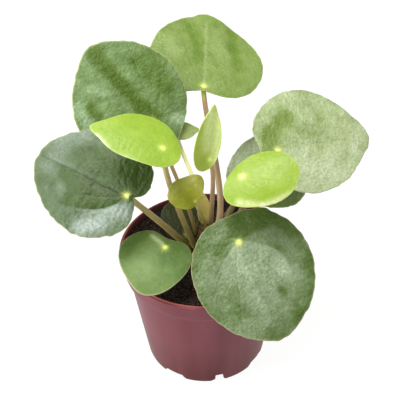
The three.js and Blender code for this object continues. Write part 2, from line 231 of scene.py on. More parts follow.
leaf("lime_right", (25.4, -18, 172), (-32, 66), 138, (51.5, 37), stalk=0.4, egg=-0.12,
     veined=0.2, side=0.09, point=1.3, shift=-8, lobes=(-0.015, 0.006), arch=2, crown=3, ripple=0.3,
     root=dict(azimuth=51, height=100.3), thick=(3.6, 3))
leaf("front_left", (-26.1, -28, 120.6), (-4, 68), -23, (46.5, 49.5), stalk=0.51, egg=0.12,
     side=-0.1, point=1.3, notch=4.5, shift=-1.1, lobes=(0.009, 0.017), arch=3, crown=3,
     ripple=0.4, root=dict(azimuth=-6, height=90), thick=(3.6, 3), puckered=0.16, veined=0.3)
leaf("front_right", (22.8, -38, 133.1), (2, 46), 22, (88, 81), stalk=0.52, side=0.03,
     point=2.6, notch=2.5, shift=-0.2, lobes=(0.011, 0.003), arch=4, crown=3, ripple=0.8,
     root=dict(azimuth=18, height=97), thick=(4.8, 4.2), puckered=0.75,
     swells=((144, 7, 1.6),))
leaf("youngest", (-0.1, 2, 119), (23, 25), 171, (21, 11), stalk=0.63, point=2.5, crown=0,
     fold=30, ripple=0, root=dict(on_top=(-0.8, 1.8)), thick=(1.8, 1.6))
leaf("low_right", (37, 40, 123), (22, 54), 63, (58.5, 55.5), stalk=0.31, side=0.29, point=1.7,
     arch=2, crown=2, ripple=0.5, root=dict(azimuth=150, height=91), thick=(4, 3.4),
     puckered=0.5)
leaf("right", (51.6, 25, 159.1), (23, 59), 82, (80, 78), stalk=0.55, egg=-0.05, side=0.11,
     point=7.5, notch=6.5, shift=1.1, lobes=(0.009, 0.013), arch=3, crown=3, ripple=0.8,
     root=dict(azimuth=80, height=91), thick=(4.4, 3.8), puckered=0.75, veined=0.5)
leaf("low_left", (-11.5, 9, 97.5), (-19, 46), -137, (31, 27), stalk=0.76, egg=-0.06,
     side=-0.06, arch=1.5, crown=1.5, root=dict(azimuth=-150, height=90), thick=(2.8, 2.4))
print("leaves:", len(LEAVES), "of", len([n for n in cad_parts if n.startswith("blade_")]))

# %% [markdown]
# ## The form of a blade
# A blade is a shield: nearly round, with the stalk joined to its underside near the middle. Its
# outline is an ellipse that a few soft terms pull out of round, and its face is domed. Both come
# from formulas, so the dressed blade can be as fine as the picture needs and still match.

# %% Blade formulas
CREASE_RADIUS = 3  # mm
POINT_WIDTH = 0.35  # radians


def from_azimuth(degrees):
    return np.array([math.sin(math.radians(degrees)), -math.cos(math.radians(degrees)), 0])


def blade_axes(it):
    """Directions out of the blade's face, towards its point and towards its left side."""
    elevation, turn = math.radians(it["faces"][1]), math.radians(it["turn"])
    out, rise = from_azimuth(it["faces"][0]), np.array([0, 0, 1])
    face = out * math.cos(elevation) + rise * math.sin(elevation)
    down = out * math.sin(elevation) - rise * math.cos(elevation)
    tip = down * math.cos(turn) + np.cross(face, down) * math.sin(turn)
    return face, tip, np.cross(face, tip)


def blade_outline(it, angle):
    """How far the rim is from the stalk, along and across the blade, at angles from its point."""
    to_point = np.minimum(angle, 2 * np.pi - angle)
    to_notch = np.pi - to_point
    along = (it["length"] / 2 * (it["stalk"] + np.cos(angle))
             + it["point"] * np.exp(-(to_point / POINT_WIDTH) ** 2)
             + it["notch"] * np.exp(-(to_notch / POINT_WIDTH) ** 2))
    half = it["width"] / 2 * (1 - it["egg"] * np.cos(angle))
    across = it["shift"] + half * (np.sin(angle) + it["side"] * np.sin(angle) ** 2)
    wave = 1 + it["lobes"][0] * np.cos(3 * angle) + it["lobes"][1] * np.sin(3 * angle)
    return along * wave, across * wave


def blade_height(it, along, across, part, angle):
    """Height of the blade's middle over a flat one."""
    fold = math.sin(math.radians(it["fold"]))
    return (fold * (np.hypot(across, CREASE_RADIUS) - CREASE_RADIUS)
            - it["arch"] * ((along / (it["length"] / 2) - it["stalk"]) ** 2 - it["stalk"] ** 2)
            - it["crown"] * (across / (it["width"] / 2)) ** 2
            + it["ripple"] * part ** 3 * np.sin(5 * angle + it["turn"]))


rim_along, rim_across = blade_outline(LEAVES["front_right"], np.linspace(0, 2 * np.pi, 90))
print("largest blade, mm:", round(np.ptp(rim_along), 1), "by", round(np.ptp(rim_across), 1))

# %% [markdown]
# ## Veins and puckers
# From the stalk a midrib runs to the point, and pairs of side veins bend towards it. They lie a
# little sunk in the upper face and stand out below. Between them the skin is puckered. Both are
# real relief here, because a raking light shows them and a shader alone would leave the rim flat.

# %% Veins
# Angle at the rim and at the stalk, and strength, of each pair of side veins
SIDE_VEINS = ((0.62, 1.05, 0.8), (1.3, 1.8, 0.65), (2.05, 2.35, 0.5), (2.75, 2.8, 0.4))
# Share of the midrib where each pair of branches leaves it, and strength
BRANCHES = ((0.2, 0.5), (0.38, 0.45), (0.56, 0.4), (0.73, 0.35))
BRANCH_TURNS = 0.55


def vein_strength(it, angle, part):
    """1 on a vein and 0 off it. A vein is an angle that changes on the way out to the rim: each
    side vein starts at one angle and ends at another, and each branch leaves the midrib."""
    signed = (angle + np.pi) % (2 * np.pi) - np.pi
    pace = part * np.hypot(it["length"] / 2 * np.sin(angle), it["width"] / 2 * np.cos(angle))
    width = 0.75 + 0.5 * (1 - part)
    found = np.exp(-(signed * pace / (width * 1.2)) ** 2)
    for end, start, strength in SIDE_VEINS:
        bend = end + (start - end) * (1 - part) ** 2
        found = np.maximum(found, strength * np.exp(-((np.abs(signed) - bend) * pace / width) ** 2))
    for begin, strength in BRANCHES:
        out = np.clip((part - begin) / (1 - begin), 0, 1)
        bend = BRANCH_TURNS * out ** 0.8
        line = np.exp(-((np.abs(signed) - bend) * pace / width) ** 2)
        found = np.maximum(found, np.where(part > begin, strength * line, 0))
    return found * np.clip(1.15 - part ** 4, 0, 1)


print("side veins:", 2 * len(SIDE_VEINS), "branches:", 2 * len(BRANCHES))

# %% [markdown]
# Larger leaves also have furrows, where the blade is bent in: broad ones where the light falls
# off, and narrow ones where a vein is deep. Beside some of them a painted sheen lies on one flank
# and a weaker painted shade on the other.

# %% Furrows
FURROWS = {name: [] for name in LEAVES}
VEIN_WIDTH = 2


def furrow(name, start, bend, end, width, depth, flank_sheen=0, spread=7):
    """A sunk line over a blade, in mm along and across it. bend pulls its middle sideways.
    Its flank value paints a sheen on one side and a weaker shade on the other, out to spread mm."""
    start, bend, end = (np.array(corner) for corner in (start, bend, end))
    t = np.linspace(0, 1, 30)[:, None]
    line = (1 - t) ** 2 * start + 2 * t * (1 - t) * bend + t ** 2 * end
    FURROWS[name].append((line, width, depth, flank_sheen, spread))


def furrow_relief(name, along, across):
    """Depth of the furrows, 1 on the narrow ones, which are veins, and the painted sheen and shade
    beside them. The depth and the veins fade out at the stalk."""
    depth, vein, flank_sheens = (np.zeros_like(along) for _ in range(3))
    here = np.column_stack([along, across])
    for line, width, deep, flank_sheen, spread in FURROWS[name]:
        gaps = np.linalg.norm(here[:, None] - line, axis=2)
        nearest, away = gaps.argmin(axis=1), gaps.min(axis=1)
        depth += deep * np.exp(-(away / width) ** 2)
        if width < VEIN_WIDTH:
            vein = np.maximum(vein, np.exp(-(away / width) ** 2))
        # Painted sheen on one flank of the furrow, weaker painted shade on the other
        if flank_sheen:
            heading, offset = np.gradient(line, axis=0)[nearest], here - line[nearest]
            side = np.tanh(3 * (heading[:, 0] * offset[:, 1] - heading[:, 1] * offset[:, 0]))
            ends = np.sqrt(np.sin(np.pi * nearest / (len(line) - 1)).clip(0))
            side = np.where(side * flank_sheen > 0, side, 0.5 * side)
            flank_sheens += flank_sheen * side * ends * np.exp(-(away / spread) ** 2)
    fades_in = 1 - np.exp(-(np.hypot(along, across) / 8) ** 2)
    return depth * fades_in, vein * fades_in, flank_sheens


furrow("back_left", (62, 2), (32, -1), (0, 0), 5.5, 1.3)
furrow("back_left", (42, 28), (32, 25), (22, 24), 5, 0.7)
furrow("left", (0, 0), (34, 1.5), (70, 2), 1, 0.7, flank_sheen=-0.22, spread=3)
furrow("left", (0, 0), (34, 1.5), (70, 2), 5, 0.8)
furrow("left", (0, 2), (10, 22), (40, 25), 0.9, 0.4, flank_sheen=0.25, spread=5)
furrow("left", (0, 2), (10, 22), (40, 25), 4, 0.6)
furrow("top", (57.5, 11), (44, 8), (34, 5), 4.2, 0.6)
furrow("top", (58, -18), (44, -20), (24, -24), 4.2, 0.5)
furrow("right", (0, 0), (-10, 7), (19, 28), 6, 0.9)
furrow("front_right", (0, 0), (31, -4), (63, 1), 0.8, 0.3, flank_sheen=-0.12, spread=5)
furrow("front_right", (0, 0), (9.5, 25.5), (34, 25), 0.8, 0.3, flank_sheen=-0.25, spread=7)
furrow("front_right", (0, 0), (2, -10), (14, -22), 0.8, 0.3, flank_sheen=0.1)
furrow("front_right", (-2, 2), (-10, 6), (-17, 12), 4, 0.9)
print("furrows:", sum(len(lines) for lines in FURROWS.values()))

# %% [markdown]
# Between the veins the skin is puckered like thin leather. A few sizes of hills are added up.

# %% Puckers
def blade_relief(it, seed, along, across, part, veins):
    """Veins sunk and skin puckered, in mm: fine, middle, drawn-out and broad puckers."""
    puckers = (0.08 * hills(along, across, 3.2, seed) + 0.12 * hills(along, across, 9, seed + 1)
               + 0.16 * hills(along * 1.3, across * 0.6, 5.5, seed + 3)
               + 0.4 * hills(along, across, 30, seed + 2))
    return (it["puckered"] * puckers * np.clip(part * 3, 0, 1)
            - 0.3 * it["veined"] * min(1, it["length"] / 60) * veins * np.clip(part * 8, 0, 1))


print("most puckered:", max(LEAVES, key=lambda name: LEAVES[name]["puckered"]))

# %% [markdown]
# ## Where each blade is pale or deep
# Each blade has a few soft zones painted into its colour. Each follows a line from one place to
# another, in mm along and across the blade, and fades out over a few mm. Positive ones are pale:
# partly the leaf's own wax and partly a painted sheen, where the skin would reflect the sky and the
# lamps. Negative ones are deep: partly the leaf's own deep green and partly painted shade, in
# furrows and where the leaves above shade it. A ragged noise in the material later breaks them up.

# %% Zones
# Painted sheen (positive) and painted shade (negative), mixed with each leaf's own pale and deep
# tones
SHEEN_AND_SHADE_ZONES = {
    "back_left": (
        ((61, 1), (46, 0), 4, -0.9), ((46, 0), (12, -1), 3.3, -1.5),
        ((12, -1), (2, -3), 3.8, -1.5), ((36, 27), (27, 26), 3, -0.5),
        ((36, -20), (16, -22), 8, -0.3), ((34, -30), (30, -32), 5, -0.3),
        ((46, 20), (37, 12), 3, 0.3), ((-8, -14), (-13, -17), 4, 0.6),
        ((40, 33), (24, 36), 5, 0.45)),
    "left": (
        ((-2, -12), (-4, -28), 9, -0.9), ((8, 3), (23, 7), 5.5, -0.75),
        ((22, 6), (45, 6), 4.5, -0.35), ((18, 33), (8, 25), 6.2, 0.62),
        ((26, 23), (34, 22), 5, -0.25), ((22, -13), (38, -10), 8, -0.3),
        ((2, 14), (-4, 10), 6, 0.45), ((66, -15), (52, -26), 8, 0.25),
        ((46, 15), (42, 18), 3.5, 0.1), ((20, 13), (36, 14), 5, -0.15),
        ((61, 6), (60, -4), 6, 0.15)),
    "top": (
        ((57.5, 12), (42, 7), 3.6, -0.4), ((42, 7), (24, 4), 4, -0.3),
        ((58, -18), (40, -20), 3.6, -0.35), ((40, -20), (24, -24), 4, -0.3),
        ((40, 27), (30, 24), 5, 0.25), ((4, 0), (62, 1.5), 1.1, 0.35),
        ((48, -8), (30, -12), 5, 0.2)),
    "right": (
        ((-5, 3), (-2, 12), 5.5, -0.85), ((-2, 12), (13, 26), 5, -0.65),
        ((12, 14), (34, 12), 10, -0.18), ((0, -18), (40, -22), 13, 0.3),
        ((60, 2), (57, -8), 5, 0.35)),
    "front_right": (
        ((-15, 5), (-15, 18), 6, -0.6), ((-4, 3), (-12, 3), 4, -0.5),
        ((-4, -5), (2, -14), 4.5, -0.35), ((-7, 10), (-5, 22), 5, -0.45),
        ((26, 33), (37, 27), 5, 0.25), ((-10, 24), (2, 36), 5, -0.35),
        ((8, -3), (36, 4), 12, 0.22), ((26, 16), (34, 20), 4, 0.3),
        ((46, -22), (32, -18), 6, -0.22), ((20, -35), (38, -34), 7, -0.2),
        ((40, 12), (43, 13), 3.5, -0.45), ((2, 38), (32, 38), 9, -0.25),
        ((32, 38), (64, 20), 9, -0.22), ((64, 20), (70, -8), 8, -0.22),
        ((-14, -16), (6, -36), 7, -0.2)),
    "front_left": (
        ((-4, -12), (-1, -3), 1.6, 0.9), ((0, 3), (8, 6), 4.5, -0.4),
        ((24, -8), (30, 8), 8, 0.1)),
    "lime_left": (
        ((43, 9), (30, 17), 2.2, 1), ((30, 17), (6, 18), 2, 0.7)),
    "lime_right": (
        ((-8, -16), (6, -25), 2.6, 0.7), ((6, -25), (26, -25), 2.8, 0.8),
        ((26, -25), (38, -16), 2, 0.5)),
    "folded": (
        ((34, 7), (8, 4), 4, 0.5), ((30, 0), (0, -5), 4, 0.5)),
    "olive_small": (
        ((1, 3), (12, 3), 3, -0.6), ((3, -9), (12, -9), 3.5, 0.25)),
    "low_right": (
        ((8, -20), (36, -6), 9, -1), ((-16, 10), (-4, 24), 12, 0.4)),
}


# Adds up, at each place on a blade, its zones of painted sheen and painted shade
def sheen_and_shade_strength(name, along, across):
    total = np.zeros_like(along)
    here = np.column_stack([along, across])
    for start, end, size, strength in SHEEN_AND_SHADE_ZONES.get(name, ()):
        line = np.subtract(end, start)
        share = np.clip((here - start) @ line / (line @ line), 0, 1)
        away = np.linalg.norm(here - start - share[:, None] * line, axis=1)
        total += strength * np.exp(-(away / size) ** 2)
    return total


print("zones:", sum(len(zones) for zones in SHEEN_AND_SHADE_ZONES.values()))

# %% [markdown]
# ## Modelling a blade
# The grid's rows run from the stalk out over the upper face, round the rim and back below. The
# rim's rows lie on a half circle, which gives the soft, thick edge of a fleshy leaf.

# %% Blade pieces
BLADE_HALF = 0.42
SPOT_RADIUS = 1.5
SMALL_BLADE = 45


def make_blade(name, seed):
    """Each row has its share of the way to the rim, how far it is drawn in, and its side."""
    it = LEAVES[name]
    small = it["length"] < SMALL_BLADE
    columns, over_rows, under_rows, rim_rows = (96, 22, 12, 4) if small else (216, 48, 26, 4)
    over = [(part, BLADE_HALF * part ** 8, 1) for part in np.linspace(0, 1, over_rows)]
    turns = np.linspace(np.pi / 2, -np.pi / 2, rim_rows + 2)[1:-1]
    rim = [(1, BLADE_HALF * (1 - math.cos(a)), math.sin(a)) for a in turns]
    under = [(part, BLADE_HALF * part ** 8, -1) for part in np.linspace(1, 0, under_rows)]
    part_of, inset_of, above_of = np.array(over + rim + under).T
    face, tip, left = blade_axes(it)

    def place(turn, row):
        angle = turn * 2 * np.pi
        rim_along, rim_across = blade_outline(it, angle)
        nicks = sum(np.sin(count * angle + count * seed) for count in (9, 17, 26, 37))
        inset = inset_of[row] - 0.18 * nicks * it["puckered"] * min(1, it["length"] / 60)
        for where, width, swell in it["swells"]:
            inset = inset - swell * np.exp(-((np.degrees(angle) - where) / width) ** 2)
        reach = part_of[row] * (1 - inset / np.hypot(rim_along, rim_across))
        along, across = rim_along * reach, rim_across * reach
        veins = vein_strength(it, angle, part_of[row])
        furrows, sharp, flank_sheens = furrow_relief(name, along, across)
        height = (blade_height(it, along, across, part_of[row], angle) + above_of[row] * BLADE_HALF
                  + blade_relief(it, seed, along, across, part_of[row], veins) - furrows)
        folded = across * math.cos(math.radians(it["fold"]))
        points = (it["at"] + np.outer(along, tip) + np.outer(folded, left)
                  + np.outer(height, face))
        near = np.hypot(along, across) / (SPOT_RADIUS * min(1, it["length"] / 50))
        spot = np.minimum(1, np.exp(-near ** 2) + 0.8 * veins * np.exp(-(near / 2.3) ** 2))
        # Painted sheen and shade, with the blade's own pale and deep tones, go to its material as a
        # mark
        zones = sheen_and_shade_strength(name, along, across) + flank_sheens
        below = (above_of[row] < -0.1).astype(float)
        return points, {"place": (along, across, below),
                        "marks": (np.maximum(0.35 * veins, sharp), spot, zones),
                        "edge": (part_of[row],)}

    piece = roll_grid(f"leaf_{name}", columns, len(part_of), place)
    print(piece.name, len(piece.data.polygons), "faces")
    return piece


blades = {name: make_blade(name, seed) for seed, name in enumerate(LEAVES, start=3)}

# %% [markdown]
# ## The skin of a leaf
# A money plant's leaf is thick and waxed: a deep green body under a thin pale bloom. Its colour is
# built in layers, from the deep green up through the bloom, which also paints a sheen, veins, the
# pale spot over the stalk and the thin rim, pale partly of itself and partly with painted light
# shining through it. The grain that breaks up the bloom also makes the skin rougher in places.

# %% Leaf skin patterns
# Sizes of the patterns in mm: patches, the skin's grain, its pits, and streaks on a young blade
PATCH, GRAIN, PIT, STREAK = 13, 2.1, 1.8, 1.1


def leaf_patterns(tree, place):
    """Broad patches of the two greens, the skin's grain, and pits a little finer than that."""
    patches = add_node(tree, "TexNoise", {}, {
        "Vector": place, "Scale": 1 / PATCH, "Detail": 4, "Roughness": 0.65})["Fac"]
    grain = add_node(tree, "TexNoise", {}, {
        "Vector": place, "Scale": 1 / GRAIN, "Detail": 4, "Roughness": 0.6})["Fac"]
    pits = add_node(tree, "TexVoronoi", {"feature": "SMOOTH_F1"}, {
        "Vector": place, "Scale": 1 / PIT, "Smoothness": 0.7})["Distance"]
    return patches, grain, pits


def bloom_and_sheen_share(tree, zones, patches, grain, wax_and_sheen):
    """How much bloom shows, painted sheen with it: its zones and its overall share, broken up by
    the grain.
    """
    ragged = add_node(tree, "MapRange", {}, {
        "Value": grain, "From Min": 0.36, "From Max": 0.66, "To Min": 0.65, "To Max": 1.35})[0]
    uneven = add_node(tree, "MapRange", {}, {
        "Value": patches, "From Min": 0.3, "From Max": 0.7,
        "To Min": 0.5 * wax_and_sheen, "To Max": 1.5 * wax_and_sheen})[0]
    share = add_node(tree, "Math", {"operation": "ADD"}, {0: zones, 1: uneven})[0]
    return add_node(tree, "Math", {"operation": "MULTIPLY", "use_clamp": True}, {
        0: share, 1: ragged})[0]


def streak_share(tree, place, zones, streaks):
    """Streaks of bloom along a young blade, inside its pale zones."""
    stretched = add_node(tree, "VectorMath", {"operation": "MULTIPLY"}, {
        0: place, 1: (1 / 40, 1 / STREAK, 1)})[0]
    ribs = add_node(tree, "TexNoise", {}, {
        "Vector": stretched, "Scale": 1, "Detail": 2})["Fac"]
    ribs = add_node(tree, "MapRange", {}, {
        "Value": ribs, "From Min": 0.45, "From Max": 0.62, "To Max": streaks})[0]
    return add_node(tree, "Math", {"operation": "MULTIPLY", "use_clamp": True}, {
        0: ribs, 1: zones})[0]


def underside_colour(tree, light, veins):
    """The underside is paler, with paler veins, and has no bloom."""
    pale = add_node(tree, "Mix", {"data_type": "RGBA"}, {
        0: 0.4, MIX_A: linear(light), MIX_B: linear("c9d6b0")})[MIX_RESULT]
    ribs = add_node(tree, "Math", {"operation": "MULTIPLY"}, {0: veins, 1: 1.6})[0]
    return add_node(tree, "Mix", {"data_type": "RGBA"}, {
        0: ribs, MIX_A: pale, MIX_B: linear("dce6c4")})[MIX_RESULT]


print("leaf skin patterns, mm:", PATCH, GRAIN, PIT, STREAK)

# %% Leaf skin
def waxy_leaf(name, deep, light, bloom_and_sheen, rim, spot="dce67c", vein=0.12, wax_and_sheen=0.2, streaks=0,
              roughness=0.38, through=0.08, pitted=0.6, gloss=0.5):
    """Waxed leaf, matt to satin, from four colours: its body's two greens, its bloom, which also
    paints a sheen, and its rim, pale partly of itself and partly with painted light through it.
    vein, wax, streaks: how dark its veins are, how much bloom and painted sheen lies all over it,
    and how much of it is in streaks. through: light that passes into it. pitted: depth of the
    skin's grain."""
    material, tree, skin = new_material(name, roughness)
    place, marks = (add_node(tree, "Attribute", {"attribute_name": label})["Vector"]
                    for label in ("place", "marks"))
    below, mark = (add_node(tree, "SeparateXYZ", {}, {0: vector}) for vector in (place, marks))
    edge = add_node(tree, "Attribute", {"attribute_name": "edge"})["Fac"]
    patches, grain, pits = leaf_patterns(tree, place)
    body = add_node(tree, "MapRange", {}, {
        "Value": patches, "From Min": 0.28, "From Max": 0.72})[0]
    body = add_node(tree, "Math", {"operation": "MULTIPLY_ADD", "use_clamp": True}, {
        0: mark["Z"], 1: 0.6, 2: body})[0]
    # The bloom colour also paints a sheen where the zones are pale
    bloom_and_sheen_mask = bloom_and_sheen_share(tree, mark["Z"], patches, grain, wax_and_sheen)
    veins = add_node(tree, "Math", {"operation": "MULTIPLY"}, {0: mark["X"], 1: vein})[0]
    vein_colour = [0.55 * value for value in linear(deep)[:3]] + [1]
    layers = [(body, linear(light)), (bloom_and_sheen_mask, linear(bloom_and_sheen)), (veins, vein_colour)]
    if streaks:
        layers.append((streak_share(tree, place, mark["Z"], streaks), linear(bloom_and_sheen)))
    # A thin pale rim: partly the edge's own colour and partly painted light shining through it
    rim_glow = add_node(tree, "MapRange", {}, {
        "Value": edge, "From Min": 0.987, "From Max": 1, "To Max": 0.5})[0]
    under = add_node(tree, "Math", {"operation": "MULTIPLY"}, {0: below["Z"], 1: 0.8})[0]
    layers += [(mark["Y"], linear(spot)), (rim_glow, linear(rim)),
               (under, underside_colour(tree, light, mark["X"]))]
    colour = linear(deep)
    for share, over in layers:
        colour = add_node(tree, "Mix", {"data_type": "RGBA"}, {
            0: share, MIX_A: colour, MIX_B: over})[MIX_RESULT]
    tree.links.new(colour, skin.inputs["Base Color"])
    rough = add_node(tree, "MapRange", {}, {
        "Value": grain, "From Min": 0.3, "From Max": 0.7,
        "To Min": roughness - 0.05, "To Max": roughness + 0.1})[0]
    tree.links.new(rough, skin.inputs["Roughness"])
    skin.inputs["Specular IOR Level"].default_value = gloss
    skin.inputs["Subsurface Weight"].default_value = through
    skin.inputs["Subsurface Radius"].default_value = (0.6, 1, 0.25)
    skin.inputs["Subsurface Scale"].default_value = 1.2 * MM
    relief = add_node(tree, "Math", {"operation": "MULTIPLY_ADD"}, {0: pits, 1: 0.4, 2: grain})[0]
    bump = add_node(tree, "Bump", {}, {
        "Strength": 1, "Distance": 1.3 * MM * pitted, "Height": relief})["Normal"]
    tree.links.new(bump, skin.inputs["Normal"])
    return material


print("pale spot over the stalk, mm across:", 2 * SPOT_RADIUS)

# %% Skins of the 14 leaves
# Much bloom on front_right and right stands partly for painted sheen
SKINS = {
    "back_left": waxy_leaf("waxed_leaf_olive_green", "445c0e", "668040", "94aa86", "b4bc74",
                           gloss=0.3),
    "left": waxy_leaf("waxed_leaf_blue_green", "384c16", "465e2c", "acb8b0", "a4ac62",
                      wax_and_sheen=0.08, vein=0.5, roughness=0.34, pitted=0.4, gloss=0.4),
    "lime_left": waxy_leaf("young_leaf_lime", "82a61a", "96b22e", "e4e8c0", "c5c87c",
                           wax_and_sheen=0.02, vein=0.3, through=0.3, pitted=0.15),
    "top": waxy_leaf("waxed_leaf_mid_green", "5e7a22", "768e3a", "9cac70", "a9b160", pitted=0.4),
    "olive_small": waxy_leaf("young_leaf_olive", "6e7210", "888a20", "b0ae68", "a1a143",
                             spot="a8a84c", wax_and_sheen=0.05, vein=0.3, through=0.25, pitted=0.15,
                             gloss=0.3),
    "folded": waxy_leaf("young_leaf_striped", "96a422", "a6be46", "d6e0a0", "dde193",
                        wax_and_sheen=0, vein=0.1, streaks=0.9, through=0.25, pitted=0.2),
    "behind": waxy_leaf("waxed_leaf_behind", "7c923c", "96a858", "b8c088", "d8dc98"),
    "lime_right": waxy_leaf("young_leaf_lime_right", "7e9e12", "90aa20", "ccd29a", "c8cb7d",
                            wax_and_sheen=0.02, vein=0.3, through=0.3, pitted=0.12),
    "front_left": waxy_leaf("waxed_leaf_plain_green", "4a6824", "627c36", "a8b486", "c0b88c",
                            wax_and_sheen=0.06, roughness=0.45, pitted=0.15, gloss=0.32),
    "front_right": waxy_leaf("waxed_leaf_grey_green", "445a18", "5e763e", "a4b296", "a89a72",
                             wax_and_sheen=0.3, pitted=0.7, gloss=0.35),
    "youngest": waxy_leaf("youngest_leaf_yellow", "a39a44", "c0b05f", "e2cea1", "e2cc9f",
                          wax_and_sheen=0.05, vein=0.1, through=0.25, pitted=0.15),
    "low_right": waxy_leaf("waxed_leaf_low_right", "5c7030", "869860", "ccd4b8", "c4c4a0",
                           wax_and_sheen=0.14),
    "right": waxy_leaf("waxed_leaf_pale_green", "6a8030", "90a664", "c0caa4", "a8a488", wax_and_sheen=0.4,
                       pitted=0.7),
    # The low leaf deep in the pot gets darker colours: painted shade from the leaves over it
    "low_left": waxy_leaf("waxed_leaf_painted_shade", "2b3010", "393e16", "54522c", "606038", wax_and_sheen=0,
                          gloss=0.25),
}
LEAF_SLOTS = {
    "leaf_dark_green": ("back_left", "left", "low_right", "low_left"),
    "leaf_green": ("top", "front_left", "folded", "behind"),
    "leaf_pale_green": ("front_right", "right"),
    "leaf_lime": ("lime_left", "lime_right"),
    "leaf_olive": ("olive_small", "youngest"),
}
for slot, names in LEAF_SLOTS.items():
    for name in names:
        dress(blades[name], f"blade_{name}", SKINS[name])
print("leaf skins:", len(SKINS))

# %% [markdown]
# ## Stalks
# A stalk is a round, juicy bar that leaves the trunk at a swollen foot, bends up towards the light
# and spreads a little where it joins the blade. Its middle line is the plain model's curve. Here
# its ends run on a hair's breadth into the trunk and the blade, because they are grown together.

# %% The trunk's line, which stalks start from
SOIL_LEVEL = 86.2
TRUNK_FOOT = np.array([-4.0, 0])
TRUNK_TOP = np.array([2.0, 1])
TRUNK_TOP_HEIGHT = 113
FOOT_RADIUS, TOP_RADIUS = 6, 4.8


def trunk_part(height):
    return np.clip((height - SOIL_LEVEL - 1) / (TRUNK_TOP_HEIGHT - SOIL_LEVEL - 1), 0, 1)


def trunk_middle(height):
    x, y = TRUNK_FOOT + (TRUNK_TOP - TRUNK_FOOT) * trunk_part(height)
    return np.array([x, y, height])


def trunk_radius(height):
    return FOOT_RADIUS + (TOP_RADIUS - FOOT_RADIUS) * trunk_part(height)


print("middle of the trunk's top, mm:", trunk_middle(TRUNK_TOP_HEIGHT))

# %% A stalk's line
# Half the plain blade's thickness, and the gap that the plain solids leave
PLAIN_HALF = 0.45
GAP = 0.3


def unit(vector):
    return vector / np.linalg.norm(vector)


def stalk_root(root):
    """Where a stalk leaves the trunk, and the direction square to the bark there."""
    if "on_top" in root:
        start = trunk_middle(TRUNK_TOP_HEIGHT) + np.array([*root["on_top"], GAP])
        return start, np.array([0, 0, 1.0])
    out = from_azimuth(root["azimuth"])
    start, higher = (trunk_middle(height) + out * trunk_radius(height)
                     for height in (root["height"], root["height"] + 1))
    square = unit(out - np.array([0, 0, (higher - start) @ out]))
    return start + square * GAP, square


def stalk_curve(it, rows):
    """Points and headings along a stalk, its reach in mm, and the directions square to the trunk
    at its foot and to the blade at its top. Its line is a Bezier curve."""
    face, tip, _ = blade_axes(it)
    start, square = stalk_root(it["root"])
    top = unit(face - tip * 2 * it["arch"] * it["stalk"] / (it["length"] / 2))
    end = it["at"] - top * (PLAIN_HALF + GAP)
    reach = np.linalg.norm(end - start)
    straight = (end - start) / reach
    leave = straight + square * it["root"].get("spread", 0.35)
    leave = unit(leave + np.array([0, 0, it["root"].get("lift", 0)]))
    arrive = straight + top * it["root"].get("bend", 0.5)
    arrive = unit(arrive - np.array([it["root"].get("sway", 0), 0, 0]))
    corners = np.array([start, start + leave * 0.3 * reach, end - arrive * 0.25 * reach, end])
    t = np.linspace(0, 1, rows)[:, None]
    points = ((1 - t) ** 3 * corners[0] + 3 * t * (1 - t) ** 2 * corners[1]
              + 3 * t ** 2 * (1 - t) * corners[2] + t ** 3 * corners[3])
    points[0] -= square * 2 * GAP
    points[-1] += top * 1.3 * GAP
    return points, np.gradient(points, axis=0), reach, square, top


print("longest stalk, mm:", round(max(stalk_curve(it, 9)[2] for it in LEAVES.values())))

# %% Stalk pieces
# The length over which the oblique cut at a stalk's end turns square to it
CUT_TURNS_OVER = 9


def make_stalk(name, seed):
    """A bar rolled round the stalk's line, a little uneven, with a swollen foot and top."""
    it = LEAVES[name]
    rows = 46
    middle, heading, reach, square, top = stalk_curve(it, rows)
    heading /= np.linalg.norm(heading, axis=1)[:, None]
    first = np.cross(np.array([0.6, -0.8, 0]), heading)
    first /= np.linalg.norm(first, axis=1)[:, None]
    second = np.cross(heading, first)
    along = np.linspace(0, 1, rows)
    # Each end is cut along what carries it, and the cut turns square to the stalk on the way
    turned = min(CUT_TURNS_OVER, reach / 3)
    near_foot = np.clip(1 - along * reach / turned, 0, 1)[:, None]
    near_blade = np.clip(1 - (1 - along) * reach / turned, 0, 1)[:, None]
    cut = heading * (1 - near_foot - near_blade) + square * near_foot + top * near_blade
    slant = heading / (heading * cut).sum(axis=1)[:, None]
    radius = (it["thick"][0] + (it["thick"][1] - it["thick"][0]) * along) / 2
    radius = radius * (1 + 0.22 * np.exp(-along * reach / 2.5)
                       + 0.3 * np.exp(-(1 - along) * reach / 1.6))
    order = np.concatenate([[0], np.arange(rows), [rows - 1]])
    size = np.concatenate([[0], radius, [0]])

    def place(turn, row):
        angle = turn * 2 * np.pi
        step = order[row]
        # The hills don't end a turn as they start it, so the seam stays open by up to 0.2 mm
        uneven = 1 + 0.03 * np.sin(3 * angle + seed) + 0.02 * hills(step * 2.0, angle, 9, seed)
        out = (size[row] * uneven)[:, None] * (
            first[step] * np.cos(angle)[:, None] + second[step] * np.sin(angle)[:, None])
        out -= slant[step] * (out * cut[step]).sum(axis=1)[:, None]
        return middle[step] + out, {"place": (along[step] * reach, angle, along[step])}

    return roll_grid(f"petiole_{name}", 20, len(order), place)


stalks = {name: make_stalk(name, seed) for seed, name in enumerate(LEAVES, start=40)}
print("stalks:", len(stalks), "faces each:", len(stalks["left"].data.polygons))

# %% [markdown]
# ## The skin of a stalk
# A stalk is smooth and a little see-through, tan to olive, with fine lines along it. Some blush
# pink near the blade. The colour runs with the length that each vertex was marked with.

